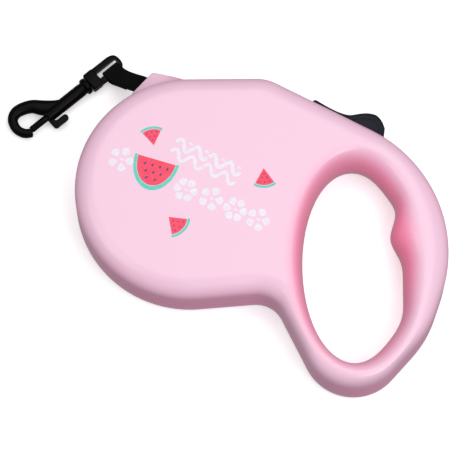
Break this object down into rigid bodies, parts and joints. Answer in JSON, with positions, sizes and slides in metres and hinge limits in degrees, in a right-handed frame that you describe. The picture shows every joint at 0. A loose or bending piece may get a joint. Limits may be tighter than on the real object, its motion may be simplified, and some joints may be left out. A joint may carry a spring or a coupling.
{
  "type": "retractable leash",
  "caption": "Hand-held retractable tape leash with a spring reel, thumb brake, hand ring and swivelling bolt hook.",
  "frame": {"origin": "on the reel's axis, at the case's flat rear face", "axes": "+X from the reel to the hand grip, +Y towards the thumb button, +Z out of the printed face, through the case's thickness"},
  "size_m": [0.2268, 0.1275, 0.031],
  "materials": {
    "case": "light pink moulded plastic, glossy",
    "black_plastic": "black moulded plastic",
    "button": "dark grey satin plastic",
    "webbing": "black woven nylon tape",
    "reel": "natural acetal",
    "steel": "bright zinc-plated"
  },
  "bodies": {
    "casing": {"lower_shell": "case", "upper_shell": "case", "case_screw_1": "steel", "case_screw_2": "steel", "case_screw_3": "steel", "case_screw_4": "steel", "case_screw_5": "steel", "axle_post": "steel", "lower_washer": "steel", "upper_washer": "steel", "power_spring": "steel", "leash_tape": "webbing", "mouth_bush": "black_plastic", "pawl_pin": "steel", "brake_spring": "steel"},
    "reel": {"reel_drum": "reel", "spring_cover": "reel", "wound_leash": "webbing"},
    "leash_end": {"leash_loop": "webbing"},
    "eye": {"swivel_eye": "black_plastic"},
    "hook": {"hook_body": "black_plastic", "bolt_spring": "steel"},
    "bolt": {"hook_bolt": "black_plastic"},
    "brake_slider": {"brake_carrier": "black_plastic"},
    "thumb_button": {"thumb_button": "button"},
    "pawl": {"brake_pawl": "reel"}
  },
  "joints": [
    {"name": "leash_pull", "type": "slide", "parent": "casing", "child": "leash_end", "axis": [-0.9877, 0.1564, 0], "range_m": [0, 4.8], "deforming": ["leash_tape"]},
    {"name": "reel_spin", "type": "hinge", "parent": "casing", "child": "reel", "pos_m": [0, 0, 0.0155], "axis": [0, 0, 1], "range_deg": [0, 8641], "stiffness_Nm_per_rad": 0.0006, "springref_deg": -8594.37, "deforming": ["power_spring"]},
    {"name": "eye_flap", "type": "hinge", "parent": "leash_end", "child": "eye", "pos_m": [-0.06275, 0.04019, 0.0044], "axis": [-0.375, -0.927, 0], "range_deg": [-60, 60]},
    {"name": "hook_swivel", "type": "hinge", "parent": "eye", "child": "hook", "pos_m": [-0.0707, 0.02906, 0.0044], "axis": [-0.375, -0.927, 0], "continuous": true},
    {"name": "bolt_draw", "type": "slide", "parent": "hook", "child": "bolt", "axis": [0.375, 0.927, 0], "range_m": [0, 0.007], "stiffness_N_per_m": 400, "springref_m": -0.005, "deforming": ["bolt_spring"]},
    {"name": "brake_press", "type": "slide", "parent": "casing", "child": "brake_slider", "axis": [0, -1, 0], "range_m": [0, 0.0032], "stiffness_N_per_m": 2500, "springref_m": -0.0012, "deforming": ["brake_spring"]},
    {"name": "brake_lock", "type": "slide", "parent": "brake_slider", "child": "thumb_button", "axis": [-1, 0, 0], "range_m": [0, 0.003]},
    {"name": "pawl_swing", "type": "hinge", "parent": "casing", "child": "pawl", "pos_m": [0.038, 0.047, 0.0212], "axis": [0, 0, 1], "range_deg": [0, 13.2]}
  ],
  "couplings": [
    {"joint": "reel_spin", "follows": "leash_pull", "rad_per_m": 31.416},
    {"joint": "pawl_swing", "follows": "brake_press", "rad_per_m": 71.5}
  ]
}
